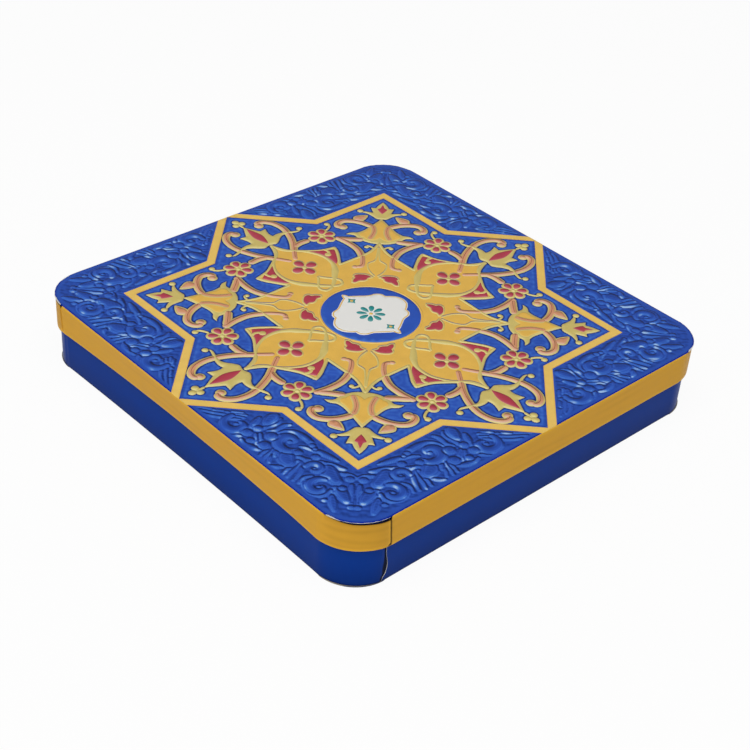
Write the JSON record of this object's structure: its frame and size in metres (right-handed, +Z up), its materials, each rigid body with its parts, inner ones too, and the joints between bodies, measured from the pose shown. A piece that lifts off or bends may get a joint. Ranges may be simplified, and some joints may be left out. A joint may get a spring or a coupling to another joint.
{
  "type": "rigid gift box",
  "caption": "Flat square keepsake box with rounded corners: a shallow lift-off lid with an eight-point star ornament over a plain tray.",
  "frame": {"origin": "centre of the underside of the base, on the surface that the box stands on", "axes": "+Z up, out of the lid; the front side faces -Y and the right side +X"},
  "size_m": [0.24, 0.24, 0.038],
  "materials": {
    "printed_top": "satin laminated print",
    "gold_card": "satin laminated print",
    "blue_card": "satin laminated print",
    "greyboard": "matt pressed fibre",
    "lining_paper": "matt uncoated",
    "stay_tape": "matt gummed kraft"
  },
  "bodies": {
    "base": {"base_bottom_panel": "blue_card", "base_flap_front": "blue_card", "base_flap_right": "blue_card", "base_flap_back": "blue_card", "base_flap_left": "blue_card", "base_bottom_board": "greyboard", "base_wall_board": "greyboard", "base_wall_stay": "stay_tape", "base_floor_lining": "lining_paper", "base_wall_lining": "lining_paper"},
    "lid": {"lid_top_panel": "printed_top", "lid_flap_front": "gold_card", "lid_flap_right": "gold_card", "lid_flap_back": "gold_card", "lid_flap_left": "gold_card", "lid_top_board": "greyboard", "lid_rim_board": "greyboard", "lid_rim_stay": "stay_tape", "lid_lining_sheet": "lining_paper"}
  },
  "joints": [
    {"name": "lid_lift", "type": "slide", "parent": "base", "child": "lid", "axis": [0, 0, 1], "range_m": [0, 0.08]}
  ]
}
